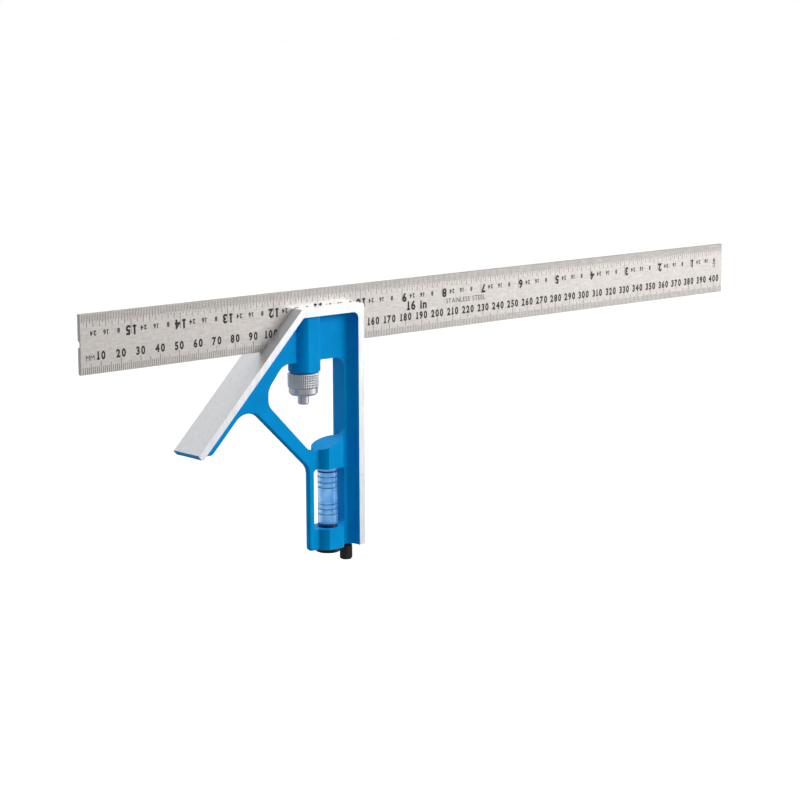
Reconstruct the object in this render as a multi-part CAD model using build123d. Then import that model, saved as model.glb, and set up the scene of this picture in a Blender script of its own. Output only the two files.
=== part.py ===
from build123d import *
import math
import os

# Combination square: a sliding steel rule clamped in a cast head with 45 and 90 degree faces.
#
# Frame, in millimetres: the origin lies on the 90 degree stock face, at the middle of the head's
# thickness and level with the rule's lower edge.  +X runs along the rule, away from the stock,
# +Y goes from the front to the back and +Z points up, away from the stock's foot.

# ---------------------------------------------------------------- driving dimensions (mm)
# Blade (the steel rule)
BLADE_LENGTH = 406.4            # 16 inches
BLADE_WIDTH = 25.4              # 1 inch
BLADE_THICKNESS = 2.0
BLADE_LEFT_END = -148.7         # where the millimetre scale's zero stands at rest
BLADE_FRONT_Y = -2.7            # front face, measured from the middle of the head
BLADE_CORNER = 0.15             # broken long edges
GROOVE_WIDTH = 3.1              # at the blade's back face
GROOVE_BOTTOM_WIDTH = 1.9
GROOVE_DEPTH = 1.2
SLIDE_CLEARANCE = 0.06          # each side of the blade in its slot

# Head casting
HEAD_HALF_THICKNESS = 9.2
HEAD_TOP = 17.6
STOCK_FOOT = -94.5
MITRE_TOP_X = -36.1             # where the 45 degree face meets the top
MITRE_DROP = 58.3               # height of the 45 degree face
MITRE_LEG_FOOT = -42.55         # level that the mitre leg is cut off at
MITRE_LEG_DEPTH = 9.6           # flange and web together, square to the 45 degree face
TOP_FLANGE = 3.7
FACE_FLANGE = 3.3
MITRE_FLANGE = 3.2
FLANGE_CORNER = 3.0             # inner corner between the top and 90 degree flanges
WEB_INSET = 1.6                 # how far the webs' outlines stop short of the machined faces
WEB_FRONT = -3.9
THIN_WEB_BACK = -0.9
BLOCK_BACK = 4.0                # back of the thick block around the blade slot
COVE_RADIUS = 2.6               # hollow between a flange and the web
WEB_ROUNDING = 0.9              # on the open edges of the webs
WING_X = -28.8                  # outer edge of the stock
STRUT_CORNER = (-63.1, -22.95)  # where the mitre leg's and the strut's under edges would meet
STRUT_CORNER_RADIUS = 9.0
WING_CORNER_Z = -55.8           # where the strut's under edge meets the wing
COLUMN_X = -7.5                 # right wall of the thumb window
WINDOW_TOP = -6.8               # top of the thumb window
WINDOW_CORNER = 5.0             # rounding of its right corners at the front of the web
WINDOW_CORNER_TAPER = 0.48      # by which that rounding shrinks for each mm towards the back
BOSS_FLAT_Y = -7.6              # flat fronts of the lock and vial bosses

# Lock: boss, bolt, spring and nut
LOCK_X = -28.5
LOCK_BOSS_Y = -0.9
LOCK_BOSS_RADIUS = 7.3
LOCK_BOSS_FOOT = -11.9
BOLT_RADIUS = 2.6
BOLT_FOOT = -26.7
BOLT_TOP = 15.9
HOOK_RADIUS = 4.1
HOOK_SEAT_TOP = -0.8
HOOK_SEAT_BOTTOM = -2.0
POCKET_RADIUS = 4.4
POCKET_FLOOR = -8.5
BOLT_FLAT_Y = -0.62
TOOTH_TIP_Y = -1.65
TOOTH_HEIGHT = 2.25             # at the blade's back face
TOOTH_GAP = 0.06                # between the tooth and the groove's lower flank
THREAD_CLEARANCE = 0.06
SPRING_RADIUS = 3.45
SPRING_WIRE_RADIUS = 0.35
SPRING_TURNS = 4.0
NUT_TOP = -12.3
NUT_RADIUS = 7.1
NUT_KNURL_HEIGHT = 6.7
NUT_COLLAR_RADIUS = 6.55
NUT_COLLAR_HEIGHT = 3.3

# Level vial
VIAL_X = -16.0
VIAL_Y = -1.4
VIAL_BOSS_RADIUS = 7.4
VIAL_RADIUS = 4.5
VIAL_BORE_RADIUS = 3.3
VIAL_TOP = -53.0
VIAL_CAVITY_TOP = -57.2
VIAL_CAVITY_BOTTOM = -83.6
VIAL_FOOT = -88.0
BUBBLE_HEIGHT = 2.3
VIAL_PAD_THICKNESS = 1.8
VIAL_FIT = 0.05                 # radial gap round the vial in its bore
VIAL_WINDOW = (-26.0, -7.9, -84.8, -57.0)   # left, right, bottom, top
RETAINER_RADIUS = 5.6
RETAINER_HEAD = 2.0

# Scriber
SCRIBER_X = -3.9
NEEDLE_RADIUS = 0.8
NEEDLE_TIP = -43.0
NEEDLE_CONE = 9.0
NEEDLE_BORE_RADIUS = 1.1
BUSHING_RADIUS = 2.1
BUSHING_LENGTH = 8.0
KNOB_RADIUS = 2.95
KNOB_TOP = -95.2
KNOB_FOOT = -102.4
KNOB_NECK_RADIUS = 1.7

# Derived places
BLADE_BACK_Y = BLADE_FRONT_Y + BLADE_THICKNESS
BLADE_MIDDLE_Z = BLADE_WIDTH / 2
MITRE_FOOT = (MITRE_TOP_X - MITRE_DROP, HEAD_TOP - MITRE_DROP)
DIAGONAL = math.sqrt(0.5)
SLOT_FLOOR = -0.05
PAST = 1.0                      # how far a cutting tool runs past the surface it cuts


# ---------------------------------------------------------------- helpers
def outline(corners):
    """Return the face inside a closed outline of (x, z, corner radius) points."""
    points = [(x, z) for x, z, _ in corners]
    radii = [radius for _, _, radius in corners]
    return make_face(FilletPolyline(*points, radius=radii, close=True))


def plate(corners, front, back):
    """Return the outline as a plate between two Y planes."""
    return extrude(Plane.XZ.offset(-back) * outline(corners), amount=back - front)


def upright(radius, x, y, bottom, top):
    """Return a vertical round bar."""
    return Pos(x, y, (bottom + top) / 2) * Cylinder(radius, top - bottom)


def block(x_range, y_range, z_range):
    """Return a box between three pairs of planes."""
    spans = (x_range, y_range, z_range)
    centre = [(low + high) / 2 for low, high in spans]
    size = [high - low for low, high in spans]
    return Pos(*centre) * Box(*size)


def rounded_plate(corners, front, back, radius):
    """Return a plate whose front and back outlines are rounded over."""
    body = plate(corners, front, back)
    edges = body.edges().group_by(Axis.Y)
    return fillet(edges[0] + edges[-1], radius)


def inset_mitre(depth, x):
    """Return the height, at x, of the line that lies depth inside the 45 degree face."""
    return x - MITRE_TOP_X + HEAD_TOP - depth / DIAGONAL


# ---------------------------------------------------------------- head casting
def silhouette():
    """Outer outline of the whole casting."""
    bevel = MITRE_FOOT[1] - MITRE_LEG_FOOT
    inner_x = MITRE_LEG_FOOT - inset_mitre(MITRE_LEG_DEPTH, 0)
    return [
        (0, HEAD_TOP, 0.7),
        (MITRE_TOP_X, HEAD_TOP, 0),
        (*MITRE_FOOT, 0.4),
        (MITRE_FOOT[0] + bevel, MITRE_LEG_FOOT, 0.4),
        (inner_x, MITRE_LEG_FOOT, 2.5),
        (*STRUT_CORNER, STRUT_CORNER_RADIUS),
        (WING_X, WING_CORNER_Z, 7.0),
        (WING_X, STOCK_FOOT, 2.0),
        (0, STOCK_FOOT, 0.5),
    ]


def corner_fill(corner, along, beside, radius, y):
    """Return the face that rounds a corner off; along and beside are angles of its two walls."""
    half = (beside - along) / 2
    reach = radius / math.tan(math.radians(half))
    sagitta = radius / math.sin(math.radians(half)) - radius
    place = Vector(*corner)
    first = place + Vector(reach, 0).rotate(Axis.Z, along)
    last = place + Vector(reach, 0).rotate(Axis.Z, beside)
    middle = place + Vector(sagitta, 0).rotate(Axis.Z, along + half)
    edges = Line(place, first) + ThreePointArc(first, middle, last) + Line(last, place)
    return Plane.XZ.offset(-y) * make_face(edges)


def tapered_corner(corner, along, beside):
    """Return the solid that fills a corner of the thumb window, less and less towards the back."""
    front = -HEAD_HALF_THICKNESS - 2 * PAST
    back = WEB_FRONT + (WINDOW_CORNER - 0.3) / WINDOW_CORNER_TAPER
    faces = [
        corner_fill(corner, along, beside, WINDOW_CORNER - WINDOW_CORNER_TAPER * (y - WEB_FRONT), y)
        for y in (front, back)
    ]
    return loft(faces, ruled=True)


def thumb_window():
    """Cutter for the large window that the lock nut is turned through."""
    low_corner = (COLUMN_X, -43.0)
    sill_left = (-24.5, -48.5)
    corners = [
        (COLUMN_X, WINDOW_TOP, 0),
        (*low_corner, 0),
        (*sill_left, 1.5),
        (-29.4, -46.8, 3.0),
        (-51.6, -24.3, 6.0),
        (-51.6, -17.0, 8.0),
        (-43.0, WINDOW_TOP, 8.0),
    ]
    window = plate(corners, -HEAD_HALF_THICKNESS - PAST, HEAD_HALF_THICKNESS + PAST)
    slope = math.degrees(math.atan2(low_corner[1] - sill_left[1], low_corner[0] - sill_left[0]))
    window -= tapered_corner((COLUMN_X, WINDOW_TOP), 180, 270)
    window -= tapered_corner(low_corner, 90, 180 + slope)
    return window


def thin_web():
    """Thin plate that carries the strut, the mitre leg and the stock's wing."""
    corners = silhouette()
    leg_x = MITRE_FOOT[0] + 2.2
    corners[0] = (-WEB_INSET, HEAD_TOP - WEB_INSET, 0)
    corners[1] = (MITRE_TOP_X + 1.0, HEAD_TOP - WEB_INSET, 0)
    corners[2] = (leg_x, inset_mitre(WEB_INSET, leg_x), 0)
    corners[3] = (leg_x, MITRE_LEG_FOOT, 0)
    corners[-1] = (-WEB_INSET, STOCK_FOOT, 0)
    return rounded_plate(corners, WEB_FRONT, THIN_WEB_BACK, WEB_ROUNDING)


def thick_block():
    """Thick plate around the blade slot and down the column beside the windows."""
    left = -56.5
    corners = [
        (-WEB_INSET, HEAD_TOP - WEB_INSET, 0),
        (MITRE_TOP_X + 1.0, HEAD_TOP - WEB_INSET, 0),
        (left, inset_mitre(WEB_INSET, left), 0),
        (-50.8, -11.5, 6.0),
        (-43.0, WINDOW_TOP, 8.0),
        (COLUMN_X, WINDOW_TOP, WINDOW_CORNER),
        (COLUMN_X, STOCK_FOOT, 0),
        (-WEB_INSET, STOCK_FOOT, 0),
    ]
    return rounded_plate(corners, WEB_FRONT, BLOCK_BACK, WEB_ROUNDING)


def flanges():
    """The three full-width machined flanges: top, 90 degree face and 45 degree face."""
    bevel = MITRE_FOOT[1] - MITRE_LEG_FOOT
    inner_x = MITRE_LEG_FOOT - inset_mitre(MITRE_FLANGE, 0)
    top_x = HEAD_TOP - TOP_FLANGE - inset_mitre(MITRE_FLANGE, 0)
    shape = [
        (0, HEAD_TOP, 0.7),
        (MITRE_TOP_X, HEAD_TOP, 0),
        (*MITRE_FOOT, 0.4),
        (MITRE_FOOT[0] + bevel, MITRE_LEG_FOOT, 0.4),
        (inner_x, MITRE_LEG_FOOT, 0.3),
        (top_x, HEAD_TOP - TOP_FLANGE, 1.0),
        (-FACE_FLANGE, HEAD_TOP - TOP_FLANGE, FLANGE_CORNER),
        (-FACE_FLANGE, STOCK_FOOT, 0),
        (0, STOCK_FOOT, 0.5),
    ]
    return plate(shape, -HEAD_HALF_THICKNESS, HEAD_HALF_THICKNESS)


def cove(length, back):
    """Hollow corner strip along +Z, its flat sides facing +X and +Y, or +X and -Y at the back."""
    sketch = Rectangle(COVE_RADIUS, COVE_RADIUS, align=(Align.MAX, Align.MAX))
    sketch -= Pos(-COVE_RADIUS, -COVE_RADIUS) * Circle(COVE_RADIUS)
    strip = extrude(sketch, amount=length)
    return mirror(strip, about=Plane.XZ) if back else strip


def coves(place, length, web_back):
    """Return the hollows at the front and back of the web; place maps local +X into the flange."""
    bury = 0.1
    front = Pos(bury, WEB_FRONT + bury, 0) * cove(length, back=False)
    rear = Pos(bury, web_back - bury, 0) * cove(length, back=True)
    return [place * front, place * rear]


def face_coves():
    """Hollows between the 90 degree flange and the web."""
    place = Pos(-FACE_FLANGE, 0, STOCK_FOOT)
    return coves(place, HEAD_TOP - 2.0 - STOCK_FOOT, BLOCK_BACK)


def mitre_coves():
    """Hollows between the 45 degree flange and the web."""
    short = 0.5
    top = HEAD_TOP - TOP_FLANGE - short
    down = Plane(
        origin=(top - inset_mitre(MITRE_FLANGE, 0), 0, top),
        x_dir=(-DIAGONAL, 0, DIAGONAL),
        z_dir=(-DIAGONAL, 0, -DIAGONAL),
    )
    return coves(down.location, (top - MITRE_LEG_FOOT - short) / DIAGONAL, THIN_WEB_BACK)


def flat_front(boss):
    """Return a boss with its front cut flat."""
    return boss - block(
        (MITRE_TOP_X - 10.0, 0),
        (-HEAD_HALF_THICKNESS - PAST, BOSS_FLAT_Y),
        (STOCK_FOOT - PAST, HEAD_TOP + PAST),
    )


def lock_boss():
    """Boss that the lock bolt passes through."""
    boss = upright(LOCK_BOSS_RADIUS, LOCK_X, LOCK_BOSS_Y, LOCK_BOSS_FOOT, HEAD_TOP - 1.0)
    foot = boss.faces().sort_by(Axis.Z)[0]
    return flat_front(chamfer(foot.edges(), 0.8))


def vial_boss():
    """Boss that holds the vial; its top slopes up towards the face."""
    boss = upright(VIAL_BOSS_RADIUS, VIAL_X, VIAL_Y, STOCK_FOOT, -36.0)
    return flat_front(boss) - thumb_window()


def blade_slot():
    """Slot for the blade, open at the top."""
    return block(
        (MITRE_FOOT[0] - PAST, PAST),
        (BLADE_FRONT_Y - SLIDE_CLEARANCE, BLADE_BACK_Y + SLIDE_CLEARANCE),
        (SLOT_FLOOR, HEAD_TOP + PAST),
    )


def hook_pocket():
    """Pocket for the bolt's hook, open into the slot, and the spring's pocket below it."""
    full = upright(POCKET_RADIUS, LOCK_X, 0, POCKET_FLOOR, HEAD_TOP + PAST)
    ahead = block(
        (LOCK_X - POCKET_RADIUS - PAST, LOCK_X + POCKET_RADIUS + PAST),
        (-POCKET_RADIUS - PAST, BLADE_FRONT_Y),
        (SLOT_FLOOR, HEAD_TOP + 2 * PAST),
    )
    return full - ahead


def vial_window():
    """Cutter for the window in front of and behind the vial."""
    left, right, bottom, top = VIAL_WINDOW
    corners = [(left, top, 1.5), (right, top, 2.5), (right, bottom, 3.0), (left, bottom, 1.5)]
    return plate(corners, -HEAD_HALF_THICKNESS - PAST, HEAD_HALF_THICKNESS + PAST)


def head_casting():
    """The cast head with its machined faces, windows and bores."""
    head = thin_web() + thick_block() - thumb_window() + flanges()
    for strip in face_coves() + mitre_coves():
        head += strip
    head += lock_boss()
    head += vial_boss()
    head -= vial_window()
    head -= blade_slot()
    head -= hook_pocket()
    head -= upright(BOLT_RADIUS + 0.15, LOCK_X, 0, LOCK_BOSS_FOOT - PAST, POCKET_FLOOR + PAST)
    head -= upright(VIAL_RADIUS + VIAL_FIT, VIAL_X, VIAL_Y, STOCK_FOOT - PAST, VIAL_TOP)
    head -= upright(BUSHING_RADIUS, SCRIBER_X, 0, STOCK_FOOT - PAST, STOCK_FOOT + BUSHING_LENGTH)
    head -= upright(NEEDLE_BORE_RADIUS, SCRIBER_X, 0, STOCK_FOOT, NEEDLE_TIP + 2.0)
    return head


# ---------------------------------------------------------------- blade and lock
def blade():
    """Steel rule with a tapered groove along the middle of its back face."""
    x_range = (BLADE_LEFT_END, BLADE_LEFT_END + BLADE_LENGTH)
    rule = block(x_range, (BLADE_FRONT_Y, BLADE_BACK_Y), (0, BLADE_WIDTH))
    rule = chamfer(rule.edges().filter_by(Axis.X), BLADE_CORNER)
    half_top = GROOVE_WIDTH / 2
    half_bottom = GROOVE_BOTTOM_WIDTH / 2
    flare = (half_top - half_bottom) / GROOVE_DEPTH
    section = Polyline(
        (BLADE_BACK_Y + 1, BLADE_MIDDLE_Z - half_top - flare),
        (BLADE_BACK_Y - GROOVE_DEPTH, BLADE_MIDDLE_Z - half_bottom),
        (BLADE_BACK_Y - GROOVE_DEPTH, BLADE_MIDDLE_Z + half_bottom),
        (BLADE_BACK_Y + 1, BLADE_MIDDLE_Z + half_top + flare),
        close=True,
    )
    start = Plane.YZ.offset(BLADE_LEFT_END - PAST)
    groove = extrude(start * make_face(section), amount=BLADE_LENGTH + 2 * PAST)
    return rule - groove


def hook_tooth():
    """Tapered tooth that sits in the blade's groove and draws the blade down."""
    flare = (GROOVE_WIDTH - GROOVE_BOTTOM_WIDTH) / 2 / GROOVE_DEPTH
    root_y = BOLT_FLAT_Y + 0.5
    low = BLADE_MIDDLE_Z - GROOVE_WIDTH / 2 + TOOTH_GAP
    root_out = flare * (root_y - BLADE_BACK_Y)
    tip_in = flare * (BLADE_BACK_Y - TOOTH_TIP_Y)
    section = Polyline(
        (root_y, low - root_out),
        (TOOTH_TIP_Y, low + tip_in),
        (TOOTH_TIP_Y, low + TOOTH_HEIGHT - tip_in),
        (root_y, low + TOOTH_HEIGHT + root_out),
        close=True,
    )
    width = 6.0
    return extrude(Plane.YZ.offset(LOCK_X - width / 2) * make_face(section), amount=width)


def lock_bolt():
    """Round threaded shank with a flat-sided hook at its top."""
    shank = upright(BOLT_RADIUS, LOCK_X, 0, BOLT_FOOT, HOOK_SEAT_BOTTOM + 0.5)
    shank = chamfer(shank.faces().sort_by(Axis.Z)[0].edges(), 0.6)
    seat = upright(HOOK_RADIUS, LOCK_X, 0, HOOK_SEAT_BOTTOM, HOOK_SEAT_TOP)
    hook = upright(HOOK_RADIUS, LOCK_X, 0, HOOK_SEAT_TOP - 0.5, BOLT_TOP)
    hook = chamfer(hook.faces().sort_by(Axis.Z)[-1].edges(), 0.5)
    hook -= block(
        (LOCK_X - HOOK_RADIUS - PAST, LOCK_X + HOOK_RADIUS + PAST),
        (-HOOK_RADIUS - PAST, BOLT_FLAT_Y),
        (HOOK_SEAT_TOP, BOLT_TOP + PAST),
    )
    return shank + seat + hook + hook_tooth()


def lock_spring():
    """Compression spring between the pocket's floor and the hook's seat."""
    clear = 0.03
    bottom = POCKET_FLOOR + SPRING_WIRE_RADIUS + clear
    height = HOOK_SEAT_BOTTOM - SPRING_WIRE_RADIUS - clear - bottom
    path = Pos(LOCK_X, 0, bottom) * Helix(height / SPRING_TURNS, height, SPRING_RADIUS)
    start = Plane(origin=path @ 0, z_dir=path % 0)
    return sweep(start * Circle(SPRING_WIRE_RADIUS), path=path, is_frenet=True)


def lock_nut():
    """Knurled nut with a smooth collar below the knurl."""
    middle = NUT_TOP - NUT_KNURL_HEIGHT
    foot = middle - NUT_COLLAR_HEIGHT
    grip = upright(NUT_RADIUS, LOCK_X, 0, middle, NUT_TOP)
    grip = chamfer(grip.edges().filter_by(GeomType.CIRCLE), 0.35)
    collar = upright(NUT_COLLAR_RADIUS, LOCK_X, 0, foot, middle + 0.5)
    collar = chamfer(collar.faces().sort_by(Axis.Z)[0].edges(), 0.9)
    bore = upright(BOLT_RADIUS + THREAD_CLEARANCE, LOCK_X, 0, foot - PAST, NUT_TOP + PAST)
    return grip + collar - bore


# ---------------------------------------------------------------- vial
def vial_barrel():
    """Clear acrylic barrel, closed at the top."""
    barrel = upright(VIAL_RADIUS, VIAL_X, VIAL_Y, VIAL_FOOT, VIAL_TOP - 0.05)
    barrel = chamfer(barrel.edges().filter_by(GeomType.CIRCLE), 0.3)
    return barrel - upright(VIAL_BORE_RADIUS, VIAL_X, VIAL_Y, VIAL_FOOT - PAST, VIAL_CAVITY_TOP)


def vial_bubble():
    """Air bubble at the top of the barrel's bore, with a domed underside."""
    top = VIAL_CAVITY_TOP
    bubble = upright(VIAL_BORE_RADIUS - 0.3, VIAL_X, VIAL_Y, top - BUBBLE_HEIGHT, top)
    return fillet(bubble.faces().sort_by(Axis.Z)[0].edges(), 1.4)


def vial_fluid():
    """Tinted spirit that fills the bore round the bubble."""
    fluid = upright(VIAL_BORE_RADIUS, VIAL_X, VIAL_Y, VIAL_CAVITY_BOTTOM, VIAL_CAVITY_TOP)
    return fluid - vial_bubble()


def vial_end_plug():
    """Plug that closes the barrel's open end."""
    return upright(VIAL_BORE_RADIUS, VIAL_X, VIAL_Y, VIAL_FOOT, VIAL_CAVITY_BOTTOM)


def vial_pad():
    """Rubber pad between the retainer and the vial."""
    return upright(VIAL_RADIUS - 0.1, VIAL_X, VIAL_Y, VIAL_FOOT - VIAL_PAD_THICKNESS, VIAL_FOOT)


def vial_retainer():
    """Screwed cap that holds the vial in its boss, with a driver slot."""
    stub_top = VIAL_FOOT - VIAL_PAD_THICKNESS
    stub = upright(VIAL_RADIUS, VIAL_X, VIAL_Y, STOCK_FOOT - 0.5, stub_top)
    foot = STOCK_FOOT - RETAINER_HEAD
    head = upright(RETAINER_RADIUS, VIAL_X, VIAL_Y, foot, STOCK_FOOT)
    head = fillet(head.faces().sort_by(Axis.Z)[0].edges(), 0.5)
    slot = block(
        (VIAL_X - RETAINER_RADIUS - PAST, VIAL_X + RETAINER_RADIUS + PAST),
        (VIAL_Y - 0.5, VIAL_Y + 0.5),
        (foot - PAST, foot + 0.7),
    )
    return stub + head - slot


# ---------------------------------------------------------------- scriber
def scriber_bushing():
    """Split bush that grips the needle."""
    bush = upright(BUSHING_RADIUS, SCRIBER_X, 0, STOCK_FOOT, STOCK_FOOT + BUSHING_LENGTH)
    bush -= upright(NEEDLE_RADIUS + 0.05, SCRIBER_X, 0, STOCK_FOOT - PAST, STOCK_FOOT + BUSHING_LENGTH + PAST)
    split = block(
        (SCRIBER_X - 0.2, SCRIBER_X + 0.2),
        (0, BUSHING_RADIUS + PAST),
        (STOCK_FOOT + 1.5, STOCK_FOOT + BUSHING_LENGTH + PAST),
    )
    return bush - split


def scriber_needle():
    """Hardened steel needle with a long point, let into the knob."""
    cone_foot = NEEDLE_TIP - NEEDLE_CONE
    shank = upright(NEEDLE_RADIUS, SCRIBER_X, 0, KNOB_TOP - 4.0, cone_foot)
    tip = Pos(SCRIBER_X, 0, (cone_foot + NEEDLE_TIP) / 2) * Cone(NEEDLE_RADIUS, 0.08, NEEDLE_CONE)
    return shank + tip


def scriber_knob():
    """Round knob with a narrow neck; the needle sits in a blind hole in its top."""
    body = upright(KNOB_RADIUS, SCRIBER_X, 0, KNOB_FOOT, KNOB_TOP)
    body = chamfer(body.edges().filter_by(GeomType.CIRCLE), 0.6)
    neck = upright(KNOB_NECK_RADIUS, SCRIBER_X, 0, KNOB_TOP - 0.5, STOCK_FOOT - 0.15)
    return body + neck - upright(NEEDLE_RADIUS, SCRIBER_X, 0, KNOB_TOP - 4.0, STOCK_FOOT)


# ---------------------------------------------------------------- write the nodes
PARTS = {
    "head_casting": head_casting,
    "blade": blade,
    "lock_bolt": lock_bolt,
    "lock_spring": lock_spring,
    "lock_nut": lock_nut,
    "vial_barrel": vial_barrel,
    "vial_fluid": vial_fluid,
    "vial_bubble": vial_bubble,
    "vial_end_plug": vial_end_plug,
    "vial_pad": vial_pad,
    "vial_retainer": vial_retainer,
    "scriber_bushing": scriber_bushing,
    "scriber_needle": scriber_needle,
    "scriber_knob": scriber_knob,
}

os.makedirs("parts", exist_ok=True)
for name, make in PARTS.items():
    export_step(make(), f"parts/{name}.step")
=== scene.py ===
"""Looks of a combination square: painted cast head, graduated steel rule, lock, level vial and scriber.

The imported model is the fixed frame, in metres: +X runs along the rule, +Y from the front of the head
to its back, +Z up.  Each class below dresses or replaces the pieces of one sub-assembly.
"""

import logging
import math
from dataclasses import dataclass, field
from enum import Enum
from typing import Callable, Iterable, Optional, Sequence

import bmesh
import bpy
from mathutils import Matrix, Vector

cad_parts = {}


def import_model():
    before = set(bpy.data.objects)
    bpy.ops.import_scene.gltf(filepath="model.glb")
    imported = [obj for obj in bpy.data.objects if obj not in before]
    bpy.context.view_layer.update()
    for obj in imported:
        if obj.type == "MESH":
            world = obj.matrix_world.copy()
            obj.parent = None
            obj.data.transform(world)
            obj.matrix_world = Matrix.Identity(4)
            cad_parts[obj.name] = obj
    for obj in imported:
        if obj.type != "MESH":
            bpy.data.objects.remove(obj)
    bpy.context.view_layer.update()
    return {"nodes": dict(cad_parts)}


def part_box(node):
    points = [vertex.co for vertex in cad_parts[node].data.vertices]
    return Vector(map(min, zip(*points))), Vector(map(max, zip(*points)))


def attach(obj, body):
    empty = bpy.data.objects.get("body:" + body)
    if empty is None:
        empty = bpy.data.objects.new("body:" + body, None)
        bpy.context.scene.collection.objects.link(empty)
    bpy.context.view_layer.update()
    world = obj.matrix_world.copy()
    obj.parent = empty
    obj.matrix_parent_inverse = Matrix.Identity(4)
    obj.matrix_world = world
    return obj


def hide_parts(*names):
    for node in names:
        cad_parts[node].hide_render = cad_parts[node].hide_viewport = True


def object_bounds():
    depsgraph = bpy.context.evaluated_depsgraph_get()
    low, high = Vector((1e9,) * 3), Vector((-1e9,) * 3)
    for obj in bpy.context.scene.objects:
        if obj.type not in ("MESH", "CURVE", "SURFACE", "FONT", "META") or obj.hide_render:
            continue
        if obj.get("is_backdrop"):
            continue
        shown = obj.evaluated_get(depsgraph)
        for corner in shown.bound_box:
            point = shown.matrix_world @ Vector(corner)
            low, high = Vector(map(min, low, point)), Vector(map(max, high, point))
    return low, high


MM = 0.001
INCH = 25.4 * MM
SAME = 1e-6                      # metres; heights closer than this are one height
# Faces of a box whose points go once round its back and then once round its front.
BOX_FACES = ((0, 1, 2, 3), (4, 5, 6, 7), (0, 1, 5, 4), (1, 2, 6, 5), (2, 3, 7, 6), (3, 0, 4, 7))
log = logging.getLogger("combination_square")

Point = tuple[float, float, float]
Colour = tuple[float, float, float, float]


# ------------------------------------------------------------------------------- small tools
def linear(hex_colour: str) -> Colour:
    """Turn an sRGB hex colour into linear RGBA.

    Args:
        hex_colour: six hex digits, such as "0A84C6".

    Returns:
        Linear red, green, blue and an alpha of 1.
    """
    channels = [int(hex_colour[i:i + 2], 16) / 255 for i in (0, 2, 4)]
    curve = [c / 12.92 if c <= 0.04045 else ((c + 0.055) / 1.055) ** 2.4 for c in channels]
    return (*curve, 1.0)


def add_node(
    tree: bpy.types.NodeTree, kind: str, inputs: Optional[dict] = None, **settings: object
) -> bpy.types.Node:
    """Add one shader node.

    Args:
        tree: the node tree it goes into.
        kind: Blender's node type name.
        inputs: for each input socket's name or number, a value or an output socket to link.
        settings: attributes of the node itself.

    Returns:
        The new node.
    """
    node = tree.nodes.new(kind)
    for name, value in settings.items():
        setattr(node, name, value)
    for key, value in (inputs or {}).items():
        if isinstance(value, bpy.types.NodeSocket):
            tree.links.new(value, node.inputs[key])
        else:
            node.inputs[key].default_value = value
    return node


def new_material(name: str) -> tuple[bpy.types.Material, bpy.types.NodeTree, bpy.types.Node]:
    """Make an empty node material.

    Args:
        name: the finish's name.

    Returns:
        The material, its node tree and its Principled shader, already linked to the output.
    """
    material = bpy.data.materials.new(name)
    material.use_nodes = True
    tree = material.node_tree
    tree.nodes.clear()
    shader = add_node(tree, "ShaderNodeBsdfPrincipled")
    add_node(tree, "ShaderNodeOutputMaterial", {"Surface": shader.outputs[0]})
    return material, tree, shader


def set_ramp(node: bpy.types.Node, stops: Sequence[tuple[float, Colour]]) -> None:
    """Give a colour ramp its stops.

    Args:
        node: the colour ramp node.
        stops: (position, colour) pairs from low to high; at least two.
    """
    elements = node.color_ramp.elements
    while len(elements) < len(stops):
        elements.new(0.5)
    for element, (position, colour) in zip(elements, stops):
        element.position = position
        element.color = colour


def grey(value: float) -> Colour:
    """Return a linear grey."""
    return (value, value, value, 1.0)


# ------------------------------------------------------------------------------- finishes
@dataclass(frozen=True)
class PowderCoat:
    """Epoxy powder coat, baked on a die casting."""

    name: str = "blue_powder_coat"
    body: str = "00A2EC"
    shade: str = "009AE2"
    gloss_tint: str = "2C96E0"        # the gloss is weak and takes on the blue
    roughness: float = 0.42
    cloud_pitch: float = 9 * MM       # size of the faint cloudy patches
    peel_pitch: float = 1.4 * MM      # spacing of the orange peel
    peel_depth: float = 0.05 * MM
    cast_grain: float = 0.45 * MM     # grain of the casting under the coat
    grain_depth: float = 0.03 * MM

    def material(self) -> bpy.types.Material:
        """Make the coat: an even blue with a soft gloss that the faint orange peel breaks up.

        Returns:
            The new material.
        """
        material, tree, shader = new_material(self.name)
        place = add_node(tree, "ShaderNodeTexCoord").outputs["Object"]
        cloud = add_node(
            tree, "ShaderNodeTexNoise", {"Vector": place, "Scale": 1 / self.cloud_pitch, "Detail": 3.0}
        )
        tint = add_node(tree, "ShaderNodeValToRGB", {"Fac": cloud.outputs["Fac"]})
        set_ramp(tint, [(0.35, linear(self.shade)), (0.65, linear(self.body))])
        peel = add_node(
            tree, "ShaderNodeTexNoise", {"Vector": place, "Scale": 1 / self.peel_pitch, "Detail": 1.0}
        )
        grain = add_node(
            tree, "ShaderNodeTexNoise", {"Vector": place, "Scale": 1 / self.cast_grain, "Detail": 2.0}
        )
        soft = add_node(
            tree, "ShaderNodeBump",
            {"Height": peel.outputs["Fac"], "Strength": 0.12, "Distance": self.peel_depth},
        )
        rough = add_node(
            tree, "ShaderNodeBump",
            {
                "Height": grain.outputs["Fac"], "Strength": 0.10, "Distance": self.grain_depth,
                "Normal": soft.outputs[0],
            },
        )
        gloss = add_node(
            tree, "ShaderNodeMapRange",
            {"Value": peel.outputs["Fac"], "To Min": self.roughness - 0.04, "To Max": self.roughness + 0.05},
        )
        tree.links.new(tint.outputs[0], shader.inputs["Base Color"])
        tree.links.new(gloss.outputs[0], shader.inputs["Roughness"])
        tree.links.new(rough.outputs[0], shader.inputs["Normal"])
        shader.inputs["IOR"].default_value = 1.45
        shader.inputs["Specular IOR Level"].default_value = 0.15
        shader.inputs["Specular Tint"].default_value = linear(self.gloss_tint)
        return material


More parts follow.
